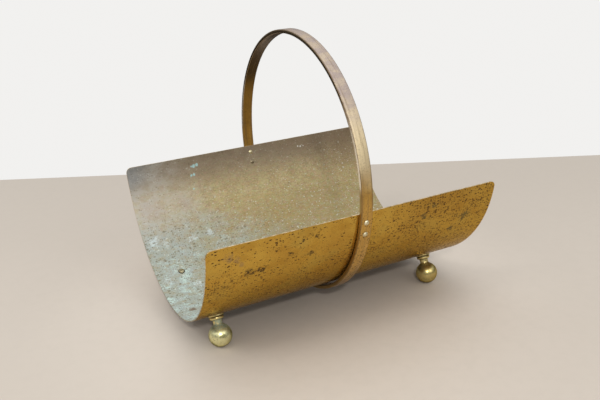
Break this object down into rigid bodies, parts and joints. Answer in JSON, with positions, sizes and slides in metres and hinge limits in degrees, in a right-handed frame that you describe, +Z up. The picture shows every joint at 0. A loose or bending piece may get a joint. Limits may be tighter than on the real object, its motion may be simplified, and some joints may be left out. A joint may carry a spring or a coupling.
{
  "type": "magazine rack",
  "caption": "Brass magazine rack: a half-round sheet trough, open at both ends, riveted into a round flat-bar hoop that is its carrying handle, standing on turned ball feet.",
  "frame": {"origin": "on the floor under the middle of the rack, where the balls' floor plane meets the middle planes", "axes": "+Z up, +X along the trough, -Y towards the front long side; the hoop lies in the YZ plane"},
  "size_m": [0.4, 0.3578, 0.3754],
  "materials": {
    "trough_sheet": "aged sheet brass with a golden brown pitted patina outside and a dull grey face with verdigris inside",
    "hoop_bar": "drawn flat bar, worn satin brown patina",
    "rivet_brass": "pale worn brass",
    "foot_brass": "turned and polished, lightly tarnished",
    "screw_brass": "dull tarnished brass"
  },
  "bodies": {
    "root": {"trough": "trough_sheet", "hoop": "hoop_bar", "rivet_front_upper": "rivet_brass", "rivet_front_lower": "rivet_brass", "rivet_back_upper": "rivet_brass", "rivet_back_lower": "rivet_brass", "foot_front_left": "foot_brass", "foot_front_right": "foot_brass", "foot_back_left": "foot_brass", "foot_back_right": "foot_brass", "screw_front_left": "screw_brass", "screw_front_right": "screw_brass", "screw_back_left": "screw_brass", "screw_back_right": "screw_brass"}
  },
  "joints": []
}
